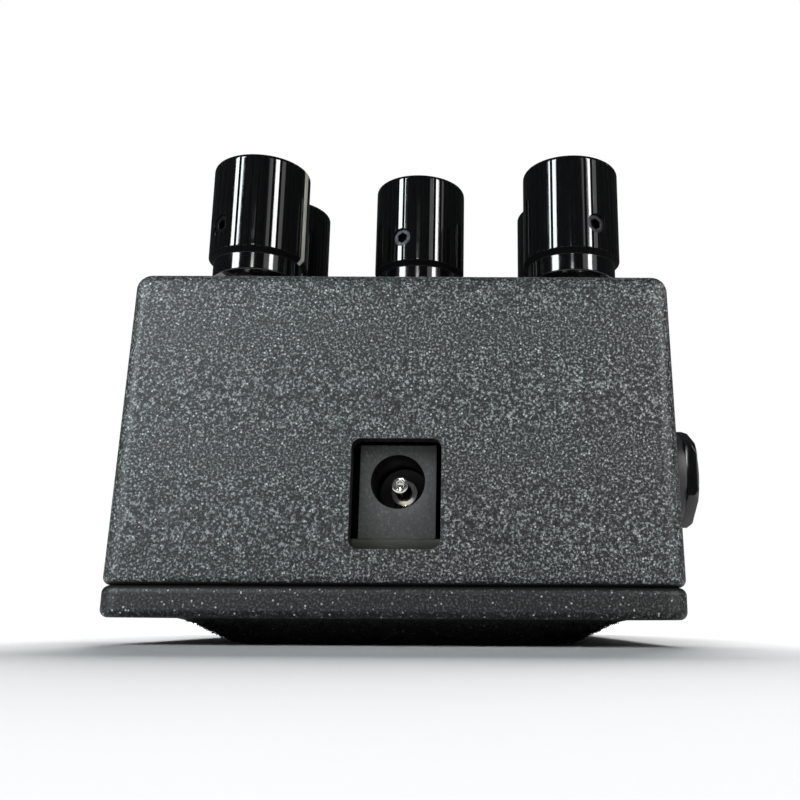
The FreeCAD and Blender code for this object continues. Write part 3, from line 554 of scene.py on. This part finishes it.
def make_pointer(name, foot, rest):
    """The inlaid line: up the chamfer and the side, over the edge and in across the top."""
    ahead = Vector((math.cos(rest), math.sin(rest), 0.0))
    across = Vector((-math.sin(rest), math.cos(rest), 0.0))
    path = [(z, r + 0.03) for z, r in knob_profile()[6:]]
    path.append((NECK_HIGH + KNOB_HIGH, 1.6))
    rings = []
    for height, radius in path:
        rise = 0.03 if radius < KNOB_R - TOP_ROUND + 0.05 else 0.0
        level = Vector((0, 0, height + rise))
        outer = [ahead * math.sqrt(radius ** 2 - t ** 2) + across * t + level
                 for t in (-0.45, -0.40, 0.0, 0.40, 0.45)]
        inner = [ahead * (radius - 0.5) + across * t + Vector((0, 0, min(height, 17.1)))
                 for t in (0.45, -0.45)]
        rings.append([foot + p * MM for p in outer + inner])
    mesh = skin(f"line_{name}", [(rings, True)])
    add_piece(f"pointer_line_{name}_inlaid", smooth(mesh, 30.0), "cream_line", f"control_{name}",
              f"pointer_line_{name}")


# ------------------------------------------------------------------ threads and hardware

def thread(centre, low, high, outer, inner, pitch):
    """Rings of a tube with a screw thread outside; all in millimetres but the centre."""
    sides, per_turn = 40, 6
    depth = 0.55 * pitch
    count = int((high - low) / pitch * per_turn)
    rings = []
    for level in range(count + 1):
        height = low + (high - low) * level / count
        end = min(1.0, 3.0 * (count - level) / count / pitch, 3.0 * level / count / pitch)
        ring = []
        for side in range(sides):
            turn = side / sides
            phase = (height / pitch - turn) % 1.0
            r = outer - depth * abs(2 * phase - 1) - 0.25 * pitch * (1 - end)
            a = 2 * math.pi * turn
            ring.append(centre + Vector((r * math.cos(a), r * math.sin(a), height)) * MM)
        rings.append(ring)
    for height in (high, low):
        rings.append([centre + Vector((inner * math.cos(2 * math.pi * s / sides),
                                       inner * math.sin(2 * math.pi * s / sides), height)) * MM
                      for s in range(sides)])
    return rings, False


def make_threads():
    """Threaded bushings of the pots and the threaded sleeve of the footswitch."""
    tubes = []
    for name in CONTROLS:
        low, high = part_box(f"pot_shaft_{name}")
        centre = Vector(((low.x + high.x) / 2, (low.y + high.y) / 2, 0.0))
        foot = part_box(f"knob_{name}")[0].z / MM
        tubes.append(thread(centre, 41.62, foot - 0.4, 3.5, 3.05, 0.75))
    add_piece("pot_bushings_threaded", smooth(skin("bushings", tubes), 25.0), "dark_nickel",
              "chassis", "pot_bushings")
    low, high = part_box("footswitch_sleeve")
    centre = Vector(((low.x + high.x) / 2, (low.y + high.y) / 2, 0.0))
    tube = thread(centre, low.z / MM, high.z / MM, 6.0, 4.05, 0.9)
    add_piece("footswitch_sleeve_threaded", smooth(skin("sleeve", [tube]), 25.0), "nickel",
              "chassis", "footswitch_sleeve")


def make_spring():
    """The footswitch's spring: a smooth-shaded copy of its CAD piece, with a mesh of its own."""
    source = nodes["footswitch_spring"]
    spring = add_piece("footswitch_spring_coil", smooth(source.data.copy()),
                       slot_of("footswitch_spring"), body_of(source)[0], "footswitch_spring")
    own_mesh(spring)


SOFT_EDGES = {
    "power_socket_body": 0.45, "socket_nuts": 0.22, "socket_washers": 0.2,
    "input_socket_body": 0.2, "output_socket_body": 0.2, "pot_nuts": 0.15, "pot_washers": 0.1,
    "footswitch_nut": 0.2, "footswitch_washer": 0.15, "footswitch_body": 0.4,
    "footswitch_frame": 0.15, "footswitch_lugs": 0.08, "footswitch_inner_nut": 0.15,
    "lamp_bezel": 0.15, "base_plate_screws": 0.06, "main_board": 0.12, "jack_board": 0.12,
    "switch_board": 0.12, "amplifier_chips": 0.15, "electrolytic_capacitors": 0.35,
    "film_capacitors": 0.5, "power_socket_pin": 0.12, "pot_bodies": 0.3,
}


# ------------------------------------------------------------------ fibre pad

PAD_HIGH, LOOP_COUNT = 3.0, 7000


def pad_outline(rise, gap=0.8):
    """Points round the pad at a share of its height; its edge curls up from the floor."""
    swell = 0.5 - math.sin(math.asin(1 - 2 * rise) / 3)
    wide, long = 20.0 + 8.8 * swell, 51.0 + 7.5 * swell
    corner = 10.0 + 4.0 * rise
    arcs = []
    for i in range(48):
        a = 2 * math.pi * (i + 0.5) / 48
        arcs.append(Vector((math.copysign(wide - corner, math.cos(a)) + corner * math.cos(a),
                            math.copysign(long - corner, math.sin(a)) + corner * math.sin(a),
                            PAD_HIGH * rise)))
    points = []
    for i, here in enumerate(arcs):
        after = arcs[(i + 1) % len(arcs)]
        count = max(1, round((after - here).length / gap))
        points += [here.lerp(after, step / count) for step in range(count)]
    return points


def fibre_loop(rng, outline, upper):
    """Rings of one thin loop of fibre that stands out from the pad's edge."""
    index = rng.randrange(len(outline))
    foot = outline[index].lerp(upper[index * len(upper) // len(outline)], rng.random())
    outward = Vector((foot.x, foot.y, 0.0)).normalized()
    outward = (outward + Vector((0.0, 0.0, rng.uniform(-0.5, 0.2)))).normalized()
    along = Vector((rng.gauss(0, 1), rng.gauss(0, 1), rng.gauss(0, 0.6))).normalized()
    span, reach = rng.uniform(0.25, 0.6), rng.uniform(0.15, 0.5)
    points = [foot + along * span * (k / 4 - 0.5) + outward * (reach * math.sin(math.pi * k / 4)
              - 0.08) for k in range(5)]
    rings = []
    for point in points:
        point.z = min(max(point.z, 0.06), PAD_HIGH - 0.1)
        side = along.cross(outward).normalized() * 0.05
        lift = outward * 0.05
        rings.append([(point + side) * MM, (point - 0.5 * side + 0.87 * lift) * MM,
                      (point - 0.5 * side - 0.87 * lift) * MM])
    return rings, True


def make_pad():
    """A dense black fibre pad: a lumpy core, and thousands of looped fibres round its edge."""
    rng = random.Random(41)
    rings = []
    for rise in (0.01, 0.04, 0.1, 0.2, 0.32, 0.45, 0.6, 0.75, 0.88, 0.99):
        ring = []
        for point in pad_outline(rise):
            inward = -rng.uniform(0.0, 0.3) * Vector((point.x, point.y, 0.0)).normalized()
            ring.append((point + inward) * MM)
        rings.append(ring)
    counts = min(len(ring) for ring in rings)
    rings = [[ring[i * len(ring) // counts] for i in range(counts)] for ring in rings]
    core = add_piece("fibre_pad_core", smooth(skin("pad_core", [(rings, True)]), 60.0),
                     "hook_fibre", "chassis", "fibre_pad")
    outlines = [pad_outline(i / 12) for i in range(1, 12)]
    loops = []
    for _ in range(LOOP_COUNT):
        level = rng.randrange(len(outlines) - 1)
        loops.append(fibre_loop(rng, outlines[level], outlines[level + 1]))
    add_piece("fibre_pad_loops", skin("pad_loops", loops), "hook_fibre", "chassis", "fibre_pad")


# ------------------------------------------------------------------ camera and stage

LENS_MM = 41.36
CAMERA_AT = Vector((9.27, -164.54, 2.82)) * MM
CAMERA_TURN = (-0.0022, 0.2359, 0.0050)
CAMERA_SHIFT = -0.094


def make_camera():
    """A camera low in front of the socket end, looking slightly up."""
    yaw, pitch, roll = CAMERA_TURN
    ahead = Vector((math.sin(yaw) * math.cos(pitch), math.cos(yaw) * math.cos(pitch),
                    math.sin(pitch)))
    right = Vector((math.cos(yaw), -math.sin(yaw), 0.0))
    up = right.cross(ahead)
    turned = right * math.cos(roll) + up * math.sin(roll)
    above = up * math.cos(roll) - right * math.sin(roll)
    rig = Matrix((turned, above, -ahead)).transposed().to_4x4()
    rig.translation = CAMERA_AT
    data = bpy.data.cameras.new("camera")
    data.lens = LENS_MM
    data.sensor_width = 36.0
    data.shift_x = CAMERA_SHIFT
    data.clip_start, data.clip_end = 0.005, 50.0
    camera = bpy.data.objects.new("camera", data)
    camera.matrix_world = rig
    bpy.context.collection.objects.link(camera)
    bpy.context.scene.camera = camera


def area_light(name, azimuth, elevation, distance, size, power, colour, glossy, diffuse):
    """A panel that faces the pedal. Azimuth 0 is in front of the socket end, 90 to +X."""
    turn, rise = math.radians(azimuth), math.radians(elevation)
    away = Vector((math.sin(turn) * math.cos(rise), -math.cos(turn) * math.cos(rise),
                   math.sin(rise)))
    data = bpy.data.lights.new(name, "AREA")
    data.shape = "RECTANGLE"
    data.size, data.size_y = size
    data.energy = power
    data.color = colour
    lamp = bpy.data.objects.new(name, data)
    lamp.location = Vector((0.0, -0.03, 0.05)) + away * distance
    lamp.rotation_mode = "QUATERNION"
    lamp.rotation_quaternion = away.to_track_quat("Z", "Y")
    lamp.visible_glossy = glossy
    lamp.visible_diffuse = diffuse
    lamp.visible_camera = False
    bpy.context.collection.objects.link(lamp)


def make_lights():
    """Panels that only light surfaces, and narrow ones that only show in reflections."""
    cool, warm, white = (0.90, 0.97, 1.0), (1.0, 0.93, 0.85), (1.0, 1.0, 1.0)
    area_light("key", -16, 36, 0.9, (0.55, 0.45), 3.5, cool, False, True)
    area_light("fill", 40, 22, 0.9, (0.4, 0.4), 0.5, warm, False, True)
    area_light("back", 180, 43, 1.1, (0.8, 0.6), 22.0, white, False, True)
    area_light("strip_left", -46, 24, 0.55, (0.16, 0.36), 4.4, cool, True, False)
    area_light("strip_right", 45, 24, 0.55, (0.09, 0.36), 2.2, white, True, False)
    area_light("halo_right", 45, 24, 0.6, (0.38, 0.36), 0.6, white, True, False)
    area_light("strip_low", -2, 18.5, 1.0, (0.10, 0.10), 0.6, white, True, False)


def make_world():
    """White behind the pedal, and a dark room for everything that reflects it."""
    world = bpy.data.worlds.new("room")
    world.use_nodes = True
    tree = world.node_tree
    seen = tree.nodes.new("ShaderNodeLightPath").outputs["Is Camera Ray"]
    pick = tree.nodes.new("ShaderNodeMix")
    pick.data_type = "RGBA"
    tree.links.new(seen, pick.inputs[0])
    pick.inputs[6].default_value = (0.035, 0.038, 0.040, 1.0)
    pick.inputs[7].default_value = (1.0, 1.0, 1.0, 1.0)
    tree.links.new(pick.outputs[2], tree.nodes["Background"].inputs["Color"])
    bpy.context.scene.world = world
    bpy.context.scene.view_settings.view_transform = "Standard"


def make_floor():
    made = Material("pale_floor", (0.86, 0.86, 0.86), 0.8, specular=0.1)
    made.link(made.ramp(made.noise(60.0, 2.0), [(0.3, 0.85), (0.7, 0.88)]), "Base Color")
    mesh = bpy.data.meshes.new("floor")
    reach = 0.7
    corners = [(x * reach, y * reach, 0.0) for x, y in ((-1, -1), (1, -1), (1, 1), (-1, 1))]
    mesh.from_pydata(corners, [], [(0, 1, 2, 3)])
    mesh.materials.append(made.data)
    floor = bpy.data.objects.new("floor", mesh)
    bpy.context.collection.objects.link(floor)


finish_cad_nodes()
for control in CONTROLS:
    make_knob(control)
make_threads()
make_spring()
for node, width in SOFT_EDGES.items():
    softened(node, width)
make_pad()
make_camera()
make_lights()
make_world()
make_floor()
